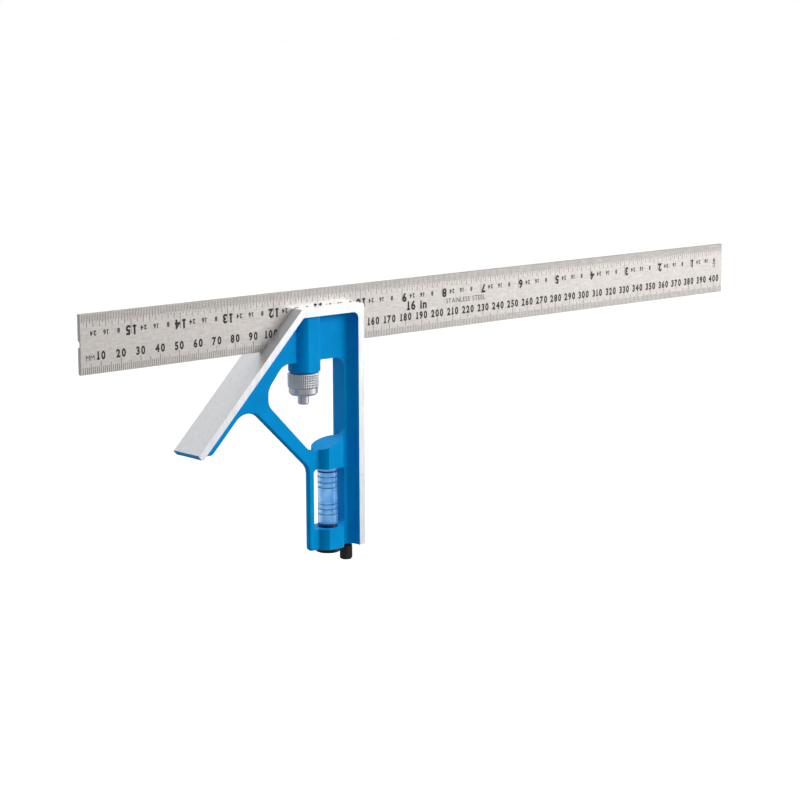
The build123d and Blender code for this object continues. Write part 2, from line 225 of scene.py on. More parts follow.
class Grind(Enum):
    """Direction that a surface was ground or brushed in, as noise stretch factors along X, Y and Z."""

    ALONG_X = (0.04, 1.0, 1.0)
    ALONG_Z = (1.0, 1.0, 0.04)
    NONE = (1.0, 1.0, 1.0)


@dataclass(frozen=True)
class GroundMetal:
    """Bare metal whose surface was ground, brushed or turned."""

    name: str
    bright: str
    dull: str
    roughness: float
    grind: Grind = Grind.NONE
    mark_pitch: float = 0.35 * MM     # spacing of the marks; coarser than real grit, so that it shows
    mark_depth: float = 0.01 * MM
    strength: float = 0.2
    spread: float = 0.05              # how far the roughness varies
    cloud_pitch: float = 6 * MM       # size of the faint cloudy patches
    cloud_share: float = 0.5          # their part in the tint, beside the marks'

    def material(self) -> bpy.types.Material:
        """Make the metal: fine directional marks stretch its highlights and vary its brightness.

        Returns:
            The new material.
        """
        material, tree, shader = new_material(self.name)
        place = add_node(tree, "ShaderNodeTexCoord").outputs["Object"]
        stretched = add_node(tree, "ShaderNodeMapping", {"Vector": place, "Scale": self.grind.value})
        marks = add_node(
            tree, "ShaderNodeTexNoise",
            {"Vector": stretched.outputs[0], "Scale": 1 / self.mark_pitch, "Detail": 3.0, "Roughness": 0.6},
        )
        cloud = add_node(
            tree, "ShaderNodeTexNoise", {"Vector": place, "Scale": 1 / self.cloud_pitch, "Detail": 4.0}
        )
        blend = add_node(
            tree, "ShaderNodeMix", {0: self.cloud_share, 2: marks.outputs["Fac"], 3: cloud.outputs["Fac"]}
        )
        tint = add_node(tree, "ShaderNodeValToRGB", {"Fac": blend.outputs[0]})
        set_ramp(tint, [(0.38, linear(self.dull)), (0.62, linear(self.bright))])
        bump = add_node(
            tree, "ShaderNodeBump",
            {"Height": marks.outputs["Fac"], "Strength": self.strength, "Distance": self.mark_depth},
        )
        gloss = add_node(
            tree, "ShaderNodeMapRange",
            {
                "Value": marks.outputs["Fac"],
                "To Min": self.roughness - self.spread,
                "To Max": self.roughness + self.spread,
            },
        )
        tree.links.new(tint.outputs[0], shader.inputs["Base Color"])
        tree.links.new(gloss.outputs[0], shader.inputs["Roughness"])
        tree.links.new(bump.outputs[0], shader.inputs["Normal"])
        shader.inputs["Metallic"].default_value = 1.0
        return material


@dataclass(frozen=True)
class Moulded:
    """Moulded plastic or rubber, or a fired black filling: an opaque, non-metal finish."""

    name: str
    body: str
    worn: str
    roughness: float
    grain: float = 0.3 * MM
    ior: float = 1.5

    def material(self) -> bpy.types.Material:
        """Make the finish: a dark, even body with a fine grain that softens its gloss.

        Returns:
            The new material.
        """
        material, tree, shader = new_material(self.name)
        place = add_node(tree, "ShaderNodeTexCoord").outputs["Object"]
        grain = add_node(
            tree, "ShaderNodeTexNoise", {"Vector": place, "Scale": 1 / self.grain, "Detail": 2.0}
        )
        tint = add_node(tree, "ShaderNodeValToRGB", {"Fac": grain.outputs["Fac"]})
        set_ramp(tint, [(0.4, linear(self.body)), (0.7, linear(self.worn))])
        bump = add_node(
            tree, "ShaderNodeBump", {"Height": grain.outputs["Fac"], "Strength": 0.15, "Distance": 0.02 * MM}
        )
        gloss = add_node(
            tree, "ShaderNodeMapRange",
            {"Value": grain.outputs["Fac"], "To Min": self.roughness - 0.05, "To Max": self.roughness + 0.08},
        )
        tree.links.new(tint.outputs[0], shader.inputs["Base Color"])
        tree.links.new(gloss.outputs[0], shader.inputs["Roughness"])
        tree.links.new(bump.outputs[0], shader.inputs["Normal"])
        shader.inputs["IOR"].default_value = self.ior
        return material


@dataclass(frozen=True)
class Clear:
    """A transparent body: polished acrylic or the air of the bubble."""

    name: str
    deep: str
    pale: str
    ior: float
    roughness: float
    ripple: float = 3.0 * MM

    def material(self) -> bpy.types.Material:
        """Make the body: it bends what lies behind it, with a tint that drifts a little.

        Returns:
            The new material.
        """
        material, tree, shader = new_material(self.name)
        place = add_node(tree, "ShaderNodeTexCoord").outputs["Object"]
        drift = add_node(
            tree, "ShaderNodeTexNoise", {"Vector": place, "Scale": 1 / self.ripple, "Detail": 1.0}
        )
        tint = add_node(tree, "ShaderNodeValToRGB", {"Fac": drift.outputs["Fac"]})
        set_ramp(tint, [(0.4, linear(self.deep)), (0.6, linear(self.pale))])
        tree.links.new(tint.outputs[0], shader.inputs["Base Color"])
        shader.inputs["IOR"].default_value = self.ior
        shader.inputs["Roughness"].default_value = self.roughness
        shader.inputs["Transmission Weight"].default_value = 1.0
        return material


@dataclass(frozen=True)
class Tinted:
    """Deeply tinted liquid in a narrow tube: its colour hides what is behind it, and it glows a little as
    painted light.
    """

    name: str
    deep: str
    pale: str
    roughness: float = 0.12
    glow: float = 0.22           # painted light: emission that stands in for the light that comes through the tube from behind
    ripple: float = 3.0 * MM

    def material(self) -> bpy.types.Material:
        """Make the liquid: an even tint that drifts a little, with a faint painted glow that stands in for
        light through the tube.

        Returns:
            The new material.
        """
        material, tree, shader = new_material(self.name)
        place = add_node(tree, "ShaderNodeTexCoord").outputs["Object"]
        drift = add_node(
            tree, "ShaderNodeTexNoise", {"Vector": place, "Scale": 1 / self.ripple, "Detail": 1.0}
        )
        tint = add_node(tree, "ShaderNodeValToRGB", {"Fac": drift.outputs["Fac"]})
        set_ramp(tint, [(0.4, linear(self.deep)), (0.6, linear(self.pale))])
        tree.links.new(tint.outputs[0], shader.inputs["Base Color"])
        # Painted light: the liquid glows in its own tint, standing in for light that comes through the tube
        # from behind.
        tree.links.new(tint.outputs[0], shader.inputs["Emission Color"])
        shader.inputs["Emission Strength"].default_value = self.glow
        shader.inputs["Roughness"].default_value = self.roughness
        shader.inputs["IOR"].default_value = 1.36
        return material


POWDER_COAT = PowderCoat()
# Milled faces of the casting: nearly white, with fine cutter marks that run along the face.
MILLED_FACE = GroundMetal(
    "milled_face", "EFF0F2", "DADCDF", 0.45, Grind.ALONG_Z, 0.3 * MM, strength=0.25, cloud_pitch=2 * MM,
    cloud_share=0.2,
)
# Cold rolled stainless steel, satin ground: a warm grey whose reflections blur along the rule.
SATIN_STAINLESS = GroundMetal(
    "satin_stainless", "CCC7C3", "B4AFAB", 0.43, Grind.ALONG_X, 0.3 * MM, strength=0.25,
    cloud_pitch=1.6 * MM, cloud_share=0.3,
)
# Turned steel, zinc plated: cooler and darker than the rule, with tight highlights.
ZINC_PLATE = GroundMetal("zinc_plated_steel", "E4E5E6", "CACBCD", 0.42, Grind.NONE, 0.25 * MM)
# Drawn spring wire: smooth and slightly brown.
SPRING_WIRE = GroundMetal("drawn_spring_wire", "9A9794", "83807D", 0.25, Grind.NONE)
# Polished tool steel of the needle.
TOOL_STEEL = GroundMetal("polished_tool_steel", "C4C4C6", "ACACAF", 0.18, Grind.ALONG_Z)
# Turned brass: yellow with faint rings.
TURNED_BRASS = GroundMetal("turned_brass", "D2B173", "B8955A", 0.28, Grind.NONE)
# Etched marks filled with black enamel: matt and slightly warm.
ENAMEL_FILL = Moulded("black_enamel_fill", "1A1917", "2A2826", 0.6)
# Thin etched lines: the filling is thinner there, so they look greyer.
ENAMEL_LINES = Moulded("thin_enamel_lines", "2E2C2A", "3C3A37", 0.6)
# Black oxide steel and black nylon look alike: near black, softly glossy.
BLACK_OXIDE = Moulded("black_oxide_steel", "161616", "242423", 0.38)
BLACK_NYLON = Moulded("black_nylon", "101010", "1A1A1A", 0.3)
# Moulded rubber: black and matt, with hardly any gloss.
RUBBER = Moulded("black_rubber", "161616", "202020", 0.7)
# Dyed moulded plastic: dark blue with a tight gloss.
NAVY_PLUG = Moulded("navy_plug", "10307E", "1A3F95", 0.25)
# Printed ink: thin navy lines, softly glossy; the same ink is laid as painted shade at the ends of the
# liquid.
RING_INK_AND_END_SHADE = Moulded("vial_ring_ink", "0E3C7C", "144A8E", 0.4)
# Polished cast acrylic: glassy, with the faintest blue.
CLEAR_ACRYLIC = Clear("polished_acrylic", "CFE8FA", "DCEFFC", 1.49, 0.03)
# Dyed spirit: a bright, even light blue, with a faint painted glow standing in for light through the tube.
BLUE_SPIRIT = Tinted("blue_spirit", "80CBF6", "9CDDFF")
# Air: bends nothing and has no colour of its own.
BUBBLE_AIR = Clear("bubble_air", "F4FAFF", "FFFFFF", 1.0, 0.0)


def dress(piece: bpy.types.Object, *finishes: bpy.types.Material) -> None:
    """Give a piece its materials in place of any it has.

    Args:
        piece: the object to dress.
        finishes: one material per slot.
    """
    piece.data.materials.clear()
    for finish in finishes:
        piece.data.materials.append(finish)
    log.info("%s: %s", piece.name, ", ".join(finish.name for finish in finishes))


def mesh_piece(
    name: str, points: Iterable[Sequence[float]], faces: Iterable[Sequence[int]],
    body: str, finish: bpy.types.Material, smooth_angle: Optional[float] = None,
) -> bpy.types.Object:
    """Make a mesh object, dress it and let it ride on a body.

    Args:
        name: the piece's name.
        points: vertices in the row frame, in metres.
        faces: vertex numbers of each face.
        body: the CAD body it moves with.
        finish: its material.
        smooth_angle: edges flatter than this many degrees are shaded smooth; None leaves all flat.

    Returns:
        The new object.
    """
    mesh = bpy.data.meshes.new(name)
    mesh.from_pydata([tuple(p) for p in points], [], [tuple(f) for f in faces])
    mesh.validate()
    work = bmesh.new()
    work.from_mesh(mesh)
    bmesh.ops.recalc_face_normals(work, faces=work.faces)
    work.to_mesh(mesh)
    work.free()
    if smooth_angle is not None:
        mesh.shade_smooth()
        mesh.set_sharp_from_angle(angle=math.radians(smooth_angle))
    piece = bpy.data.objects.new(name, mesh)
    bpy.context.scene.collection.objects.link(piece)
    dress(piece, finish)
    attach(piece, body)
    log.info("%s: %d faces on body %s", name, len(mesh.polygons), body)
    return piece


def turned(
    profile: Sequence[tuple[float, float]], axis: tuple[float, float], sides: int,
    relief: Optional[Callable[[float, float], float]] = None,
) -> tuple[list[Point], list[tuple[int, ...]]]:
    """Turn a closed profile about an upright axis.

    Args:
        profile: (radius, z) points round the section, not repeating the first.
        axis: x and y of the axis.
        sides: number of steps round the circle.
        relief: how far the surface lies inside its nominal radius, from (turn from 0 to 1, z).

    Returns:
        The vertices and faces of the closed ring.
    """
    points: list[Point] = []
    for step in range(sides):
        turn = step / sides
        angle = 2 * math.pi * turn
        for radius, z in profile:
            cut = relief(turn, z) if relief and radius > 0 else 0.0
            r = radius - cut
            points.append((axis[0] + r * math.cos(angle), axis[1] + r * math.sin(angle), z))
    count = len(profile)
    faces = []
    for step in range(sides):
        here, there = step * count, (step + 1) % sides * count
        for i in range(count):
            j = (i + 1) % count
            faces.append((here + i, here + j, there + j, there + i))
    return points, faces


def saw(t: float) -> float:
    """Return a triangle wave: 0 at whole numbers, 1 half way between them."""
    return 1 - abs(2 * (t % 1.0) - 1)


# ------------------------------------------------------------------------------- lettering
class Lettering:
    """Engraved characters as thin closed meshes, made once each and copied where they are wanted."""

    CAP_HEIGHT = 0.729           # of the type's body size
    SERIF = 0.14                 # reach of a 1's foot beyond its stem, as a share of its height
    FOOT = 0.16                  # thickness of that foot

    def __init__(self) -> None:
        """Start with no characters made."""
        self._made: dict[tuple[str, float], tuple[list[Vector], list[tuple[int, ...]], float]] = {}

    def glyph(self, letter: str, weight: float) -> tuple[list[Vector], list[tuple[int, ...]], float]:
        """Return one character.

        Args:
            letter: the character.
            weight: how far its outline is thickened, as a share of its height.

        Returns:
            Vertices (x right, y up, z 0 or 1 for back or front) for a height of 1, faces, and width.
        """
        key = (letter, weight)
        if key not in self._made:
            curve = bpy.data.curves.new("glyph", "FONT")
            curve.body = letter
            curve.size = 1 / self.CAP_HEIGHT
            curve.extrude = 0.5
            curve.offset = weight
            curve.resolution_u = 3
            carrier = bpy.data.objects.new("glyph", curve)
            bpy.context.scene.collection.objects.link(carrier)
            bpy.context.view_layer.update()
            shown = carrier.evaluated_get(bpy.context.evaluated_depsgraph_get())
            mesh = bpy.data.meshes.new_from_object(shown)
            work = bmesh.new()
            work.from_mesh(mesh)
            bmesh.ops.remove_doubles(work, verts=work.verts, dist=1e-4)
            work.verts.index_update()
            points = [Vector((v.co.x, v.co.y, v.co.z + 0.5)) for v in work.verts]
            faces = [tuple(v.index for v in f.verts) for f in work.faces]
            work.free()
            bpy.data.meshes.remove(mesh)
            bpy.data.objects.remove(carrier)
            bpy.data.curves.remove(curve)
            left = min(p.x for p in points)
            right = max(p.x for p in points)
            if letter == "1":
                self._add_foot(points, faces, left - self.SERIF, right + self.SERIF)
                left, right = left - self.SERIF, right + self.SERIF
            self._made[key] = ([p - Vector((left, 0, 0)) for p in points], faces, right - left)
        return self._made[key]

    def _add_foot(
        self, points: list[Vector], faces: list[tuple[int, ...]], left: float, right: float
    ) -> None:
        """Put a foot under a 1, as engraved figures have.

        Args:
            points: the points of the 1, which gain the foot's.
            faces: the faces of the 1, which gain the foot's.
            left: x of the foot's left end.
            right: x of its right end.
        """
        start = len(points)
        for depth in (0.0, 1.0):
            for x, y in ((left, 0.0), (right, 0.0), (right, self.FOOT), (left, self.FOOT)):
                points.append(Vector((x, y, depth)))
        faces.extend(tuple(start + i for i in f) for f in BOX_FACES)


@dataclass
class Engraving:
    """Collects flat marks on one upright face of the rule."""

    name: str
    face_y: float                # the face that is marked
    outward: int                 # -1 on the front face, +1 on the back
    lettering: Lettering
    rise: float = 0.012 * MM     # the filling stands this far proud of the steel
    root: float = 0.02 * MM      # and this far into it
    points: list[Point] = field(default_factory=list)
    faces: list[tuple[int, ...]] = field(default_factory=list)

    def _add(self, flat: Iterable[tuple[float, float, float]], faces: Iterable[Sequence[int]]) -> None:
        """Add a closed shape.

        Args:
            flat: its points as (x, z, depth), with a depth of 0 at the root and 1 at the front.
            faces: point numbers of each face.
        """
        start = len(self.points)
        for x, z, depth in flat:
            y = self.face_y + self.outward * (depth * (self.rise + self.root) - self.root)
            self.points.append((x, y, z))
        self.faces.extend(tuple(i + start for i in f) for f in faces)

    def line(self, x: float, z_from: float, z_to: float, width: float) -> None:
        """Cut one upright line.

        Args:
            x: its middle.
            z_from: one end.
            z_to: the other end.
            width: its width.
        """
        sides = (x - width / 2, x + width / 2)
        corners = [(sx, z, d) for d in (0, 1) for sx, z in
                   ((sides[0], z_from), (sides[1], z_from), (sides[1], z_to), (sides[0], z_to))]
        self._add(corners, BOX_FACES)

    def text(
        self, words: str, x: float, z: float, height: float, squeeze: float = 0.8,
        spacing: float = 0.16, weight: float = 0.0, upside_down: bool = False,
    ) -> None:
        """Engrave words on a straight line, centred on x.

        Args:
            words: what to write.
            x: middle of the words.
            z: foot of the letters, or their top edge as seen when upside_down.
            height: height of a capital.
            squeeze: width of the letters as a share of the type's own.
            spacing: gap between letters as a share of height.
            weight: thickening of the strokes as a share of height.
            upside_down: turn the words half a turn.
        """
        shapes = [self.lettering.glyph(c, weight) if c != " " else ([], [], 0.45) for c in words]
        gap = spacing * height
        total = sum(w * squeeze * height for _, _, w in shapes) + gap * (len(shapes) - 1)
        reading = (-1 if upside_down else 1) * (1 if self.outward < 0 else -1)
        rising = -1 if upside_down else 1
        at = -total / 2
        for points, faces, width in shapes:
            placed = [
                (x + reading * (at + p.x * squeeze * height), z + rising * p.y * height, p.z)
                for p in points
            ]
            self._add(placed, faces)
            at += width * squeeze * height + gap

    def piece(self, finish: bpy.types.Material) -> bpy.types.Object:
        """Return everything engraved so far as one piece that rides on the rule."""
        return mesh_piece(self.name, self.points, self.faces, "blade", finish)


@dataclass
class Rule:
    """The steel rule and its scales."""

    tick_width: float = 0.21 * MM
    inch_lengths: dict[int, float] = field(
        default_factory=lambda: {
            32: 3.2 * MM, 16: 4.2 * MM, 8: 5.7 * MM, 4: 5.7 * MM, 2: 5.7 * MM, 1: 10.4 * MM,
        }
    )
    metric_lengths: dict[int, float] = field(
        default_factory=lambda: {1: 3.1 * MM, 5: 4.3 * MM, 10: 5.4 * MM}
    )
    number_height: float = 3.4 * MM
    number_foot: float = 5.9 * MM
    inch_number_height: float = 3.9 * MM
    inch_number_edge: float = 6.9 * MM
    figure_share: float = 0.62   # width of a figure as a share of its height
    figure_shift: float = 0.62   # how far a single figure stands off its line, in figure widths
    small_height: float = 2.0 * MM
    small_edge: float = 7.4 * MM
    parts_edge: float = 9.8 * MM                                     # the word that names the parts
    unit_middle: float = 4.6 * MM                                    # the metric scale's unit
    words_height: float = 2.3 * MM
    steel_place: tuple[float, float] = (218.5 * MM, 11.5 * MM)       # from the left end and lower edge
    length_place: tuple[float, float] = (187 * MM, 10.7 * MM)        # likewise
    length_height: float = 4.0 * MM
    lettering: Lettering = field(default_factory=Lettering)

    def __post_init__(self) -> None:
        """Read the rule's place from the frame."""
        low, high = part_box("blade")
        self.left, self.right = low.x, high.x
        self.bottom, self.top = low.z, high.z
        self.front, self.back = low.y, high.y

    def tick_length(self, part: int, parts: int, lengths: dict[int, float]) -> float:
        """Return the length of inch tick number part of an inch cut into parts."""
        shared = math.gcd(part, parts) if part else parts
        return lengths[parts // shared]

    def inch_scale(
        self, marks: Engraving, parts: int, zero: float, step: int, edge: float, inward: int
    ) -> None:
        """Cut an inch scale.

        Args:
            marks: the engraving it goes on.
            parts: divisions of each inch.
            zero: x of the scale's zero.
            step: +1 or -1, the way the numbers grow along X.
            edge: z of the edge that the ticks start from.
            inward: +1 or -1, the way from that edge into the rule.
        """
        count = round((self.right - self.left) / INCH * parts)
        for tick in range(1, count):
            length = self.tick_length(tick % parts, parts, self.inch_lengths)
            x = zero + step * tick * INCH / parts
            self._mark(marks, x, edge, inward, length)

    def _mark(self, marks: Engraving, x: float, edge: float, inward: int, length: float) -> None:
        """Cut one tick from just inside the edge."""
        bevel = 0.2 * MM
        marks.line(x, edge + inward * bevel, edge + inward * length, self.tick_width)

    def inch_numbers(
        self, marks: Engraving, zero: float, step: int, edge: float, inward: int, small: Sequence[int]
    ) -> None:
        """Number the inches, and the small divisions between them.

        Args:
            marks: the engraving they go on.
            zero: x of the scale's zero.
            step: +1 or -1, the way the numbers grow along X.
            edge: z of the scale's edge.
            inward: +1 or -1, the way from that edge into the rule.
            small: the thirty-seconds that carry a small number.
        """
        flipped = inward < 0
        figure_width = self.figure_share * self.inch_number_height
        for inch in range(0, 16):
            if inch:
                middle = 0.0 if inch > 9 else -step * self.figure_shift * figure_width
                marks.text(
                    str(inch), zero + step * inch * INCH + middle, edge + inward * self.inch_number_edge,
                    self.inch_number_height, 0.95, spacing=0.26 if inch > 9 else 0.16, weight=0.065,
                    upside_down=flipped,
                )
            for part in small:
                marks.text(
                    str(part), zero + step * (inch + part / 32) * INCH, edge + inward * self.small_edge,
                    self.small_height, 0.95, weight=0.06, upside_down=flipped,
                )

    def front_scales(self) -> None:
        """Cut the front face: thirty-seconds along the top, millimetres along the bottom, and the words."""
        ticks = Engraving("rule_front_ticks", self.front, -1, self.lettering)
        self.inch_scale(ticks, 32, self.right, -1, self.top, -1)
        for tick in range(1, round((self.right - self.left) / MM) + 1):
            length = self.metric_lengths[10 if tick % 10 == 0 else 5 if tick % 5 == 0 else 1]
            self._mark(ticks, self.left + tick * MM, self.bottom, 1, length)
        ticks.piece(ENAMEL_LINES.material())

        numbers = Engraving("rule_front_numbers", self.front, -1, self.lettering)
        self.inch_numbers(numbers, self.right, -1, self.top, -1, (8, 16, 24))
        for number in range(10, 401, 10):
            numbers.text(
                str(number), self.left + number * MM, self.bottom + self.number_foot,
                self.number_height, 0.86, spacing=0.2, weight=0.06,
            )
        numbers.text(
            "MM", self.left + self.unit_middle, self.bottom + self.number_foot, self.words_height, 0.95,
        )
        numbers.text(
            "32", self.right - 8 / 32 * INCH, self.top - self.parts_edge, self.small_height, 0.75,
            weight=0.03, upside_down=True,
        )
        numbers.text(
            "STAINLESS STEEL", self.left + self.steel_place[0], self.bottom + self.steel_place[1],
            self.words_height, 0.96, spacing=0.18, weight=0.005,
        )
        numbers.text(
            "16 in", self.left + self.length_place[0], self.bottom + self.length_place[1],
            self.length_height, 1.0, spacing=0.14, weight=0.06,
        )
        numbers.piece(ENAMEL_FILL.material())

    def back_scales(self) -> None:
        """Cut the back face: sixteenths along one edge and eighths along the other."""
        marks = Engraving("rule_back_scales", self.back, 1, self.lettering)
        self.inch_scale(marks, 16, self.right, -1, self.bottom, 1)
        self.inch_numbers(marks, self.right, -1, self.bottom, 1, ())
        self.inch_scale(marks, 8, self.left, 1, self.top, -1)
        self.inch_numbers(marks, self.left, 1, self.top, -1, ())
        marks.piece(ENAMEL_FILL.material())

    def build(self, nodes: dict[str, bpy.types.Object]) -> None:
        """Dress the rule and cut its scales.

        Args:
            nodes: the CAD nodes by name.
        """
        dress(nodes["blade"], SATIN_STAINLESS.material())
        self.front_scales()
        self.back_scales()


@dataclass
class Head:
    """The casting: milled faces are bare metal, everything between them is painted."""

    tolerance: float = 0.02 * MM
    square: float = 0.9999       # how closely a face's normal has to match
    slot_floor: float = -0.2 * MM        # height just under the floor of the rule's slot
    slot_margin: float = 0.1 * MM        # reach beyond the rule's faces that takes in the slot's walls

    def build(self, nodes: dict[str, bpy.types.Object]) -> None:
        """Dress the casting, face by face.

        Args:
            nodes: the CAD nodes by name.
        """
        casting = nodes["head_casting"]
        low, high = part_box("head_casting")
        slot_low, slot_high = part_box("blade")
        diagonal = Vector((-1, 0, 1)).normalized()
        mitre = max(v.co.dot(diagonal) for v in casting.data.vertices)
        planes = [
            (Vector((0, 1, 0)), high.y),
            (Vector((0, -1, 0)), -low.y),
            (Vector((1, 0, 0)), high.x),
            (Vector((0, 0, 1)), high.z),
            (diagonal, mitre),
        ]
        dress(casting, POWDER_COAT.material(), MILLED_FACE.material())
        bare = 0
        for polygon in casting.data.polygons:
            milled = any(
                polygon.normal.dot(n) > self.square and abs(polygon.center.dot(n) - d) < self.tolerance
                for n, d in planes
            )
            in_slot = (
                polygon.center.z > self.slot_floor
                and slot_low.y - self.slot_margin < polygon.center.y < slot_high.y + self.slot_margin
            )
            polygon.material_index = 1 if milled or in_slot else 0
            bare += polygon.material_index
        log.info("head_casting: %d of %d faces are milled", bare, len(casting.data.polygons))


@dataclass
class Lock:
    """The lock nut with its square knurl, and the bolt and spring behind it."""

    columns: int = 50            # knurl points round the nut, about 0.9 mm apart
    knurl_pitch: float = 1.07 * MM
    knurl_depth: float = 0.28 * MM
    knurl_height: float = 6.7 * MM
    flank: float = 1.25          # slope of the grooves' sides; over 1 leaves their floors flat
    level_share: float = 0.6     # depth of the level grooves as a share of the upright ones'
    level_start: float = 0.25    # where the level grooves start, in pitches from the band's top
    rows_per_pitch: int = 6
    sides_per_column: int = 6
    edge: float = 0.35 * MM
    collar_step: float = 0.55 * MM
    collar_bevel: float = 0.9 * MM
    bore_radius: float = 2.66 * MM

    def nut(self) -> None:
        """Build the nut over its CAD solid."""
        low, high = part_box("lock_nut")
        centre = ((low.x + high.x) / 2, (low.y + high.y) / 2)
        outer = (high.x - low.x) / 2
        collar = outer - self.collar_step
        band_top, band_foot = high.z - self.edge, high.z - self.knurl_height + self.edge
        rows = math.ceil((band_top - band_foot) / self.knurl_pitch * self.rows_per_pitch)
        profile = [(self.bore_radius, high.z), (outer - self.edge, high.z)]
        profile += [(outer, band_top + (band_foot - band_top) * i / rows) for i in range(rows + 1)]
        profile += [
            (collar, high.z - self.knurl_height),
            (collar, low.z + self.collar_bevel),
            (collar - self.collar_bevel, low.z),
            (self.bore_radius, low.z),
        ]

        def relief(turn: float, z: float) -> float:
            """Work out how deep the knurl is cut at one place.

            Args:
                turn: the way round the nut, from 0 to 1.
                z: the height.

            Returns:
                The depth below the knurl's points.
            """
            if not band_foot - SAME <= z <= band_top + SAME:
                return 0.0
            row = (band_top - z) / self.knurl_pitch + self.level_start
            upright = 1 - min(1.0, self.flank * saw(turn * self.columns))
            level = self.level_share * (1 - min(1.0, self.flank * saw(row)))
            return self.knurl_depth * max(upright, level)

        points, faces = turned(profile, centre, self.columns * self.sides_per_column, relief)
        piece = mesh_piece(
            "knurled_lock_nut", points, faces, "nut", ZINC_PLATE.material(), smooth_angle=28
        )
        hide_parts("lock_nut")

    def build(self, nodes: dict[str, bpy.types.Object]) -> None:
        """Build the nut and dress the bolt and its spring.

        Args:
            nodes: the CAD nodes by name.
        """
        self.nut()
        dress(nodes["lock_bolt"], ZINC_PLATE.material())
        dress(nodes["lock_spring"], SPRING_WIRE.material())


@dataclass
class Vial:
    """The level vial: acrylic barrel, blue spirit, bubble, printed rings, bands of painted shade at the
    liquid's ends, plug, pad and retainer.
    """

    ring_width: float = 0.35 * MM
    ring_rise: float = 0.02 * MM
    ring_heights: tuple[float, ...] = (-61.4, -63.9, -66.3, -74.0, -76.3, -78.7)
    # Painted shade: dark ink bands at the two ends of the liquid, where it looks dark.
    end_bands: tuple[float, ...] = (-58.9, -83.4)
    end_band_width: float = 0.8 * MM
    sides: int = 72

    def bands(
        self, name: str, heights: Sequence[float], width: float, finish: bpy.types.Material
    ) -> None:
        """Lay thin bands round the barrel.

        Args:
            name: the piece's name.
            heights: z of each band's middle, in millimetres.
            width: height of a band.
            finish: its material.
        """
        low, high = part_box("vial_barrel")
        centre = ((low.x + high.x) / 2, (low.y + high.y) / 2)
        radius = (high.x - low.x) / 2
        points: list[Point] = []
        faces: list[tuple[int, ...]] = []
        for height in heights:
            z = height * MM
            half = width / 2
            inside, outside = radius - self.ring_rise / 2, radius + self.ring_rise
            profile = [(inside, z - half), (outside, z - half), (outside, z + half), (inside, z + half)]
            ring_points, ring_faces = turned(profile, centre, self.sides)
            start = len(points)
            points += ring_points
            faces += [tuple(i + start for i in f) for f in ring_faces]
        mesh_piece(name, points, faces, "head", finish, smooth_angle=40)

    def build(self, nodes: dict[str, bpy.types.Object]) -> None:
        """Dress the vial's pieces, print its rings and lay bands of painted shade at the ends of the liquid.

        Args:
            nodes: the CAD nodes by name.
        """
        dress(nodes["vial_barrel"], CLEAR_ACRYLIC.material())
        dress(nodes["vial_fluid"], BLUE_SPIRIT.material())
        dress(nodes["vial_bubble"], BUBBLE_AIR.material())
        dress(nodes["vial_end_plug"], NAVY_PLUG.material())
        dress(nodes["vial_pad"], RUBBER.material())
        dress(nodes["vial_retainer"], BLACK_NYLON.material())
        ink = RING_INK_AND_END_SHADE.material()
        self.bands("vial_rings", self.ring_heights, self.ring_width, ink)
        # Painted shade: the ring ink, laid as wider bands where the ends of the liquid look dark.
        self.bands("vial_end_bands", self.end_bands, self.end_band_width, ink)


@dataclass
class Scriber:
    """The scriber: knurled knob, needle and bush."""

    columns: int = 26
    knurl_depth: float = 0.16 * MM
    sides_per_column: int = 6
    edge: float = 0.6 * MM
    neck_radius: float = 1.7 * MM
    neck_height: float = 0.55 * MM
    bore_radius: float = 0.8 * MM
    bore_depth: float = 4.0 * MM

    def knob(self) -> None:
        """Build the knob over its CAD solid, with a straight knurl."""
        low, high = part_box("scriber_knob")
        centre = ((low.x + high.x) / 2, (low.y + high.y) / 2)
        outer = (high.x - low.x) / 2
        shoulder = high.z - self.neck_height
        top, foot = shoulder - self.edge, low.z + self.edge
        profile = [
            (self.bore_radius, shoulder - self.bore_depth), (self.bore_radius, high.z),
            (self.neck_radius, high.z), (self.neck_radius, shoulder), (outer - self.edge, shoulder),
            (outer, top), (outer, (top + foot) / 2), (outer, foot), (outer - self.edge, low.z),
        ]

        def relief(turn: float, z: float) -> float:
            """Return the depth of the straight grooves."""
            inside = foot - SAME <= z <= top + SAME
            return self.knurl_depth * (1 - saw(turn * self.columns)) if inside else 0.0

        sides = self.columns * self.sides_per_column
        points, faces = turned(profile, centre, sides, relief)
        # Close the foot and the blind hole: the open profile's last edge becomes two discs.
        count = len(profile)
        faces = [f for f in faces if not {f[0] % count, f[1] % count} == {0, count - 1}]
        points += [(*centre, shoulder - self.bore_depth), (*centre, low.z)]
        floor, base = len(points) - 2, len(points) - 1
        for step in range(sides):
            here, there = step * count, (step + 1) % sides * count
            faces.append((here, there, floor))
            faces.append((there + count - 1, here + count - 1, base))
        piece = mesh_piece(
            "knurled_scriber_knob", points, faces, "scriber", BLACK_OXIDE.material(),
            smooth_angle=35,
        )
        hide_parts("scriber_knob")

    def build(self, nodes: dict[str, bpy.types.Object]) -> None:
        """Build the knob and dress the needle and its bush.

        Args:
            nodes: the CAD nodes by name.
        """
        self.knob()
        dress(nodes["scriber_needle"], TOOL_STEEL.material())
        dress(nodes["scriber_bushing"], TURNED_BRASS.material())


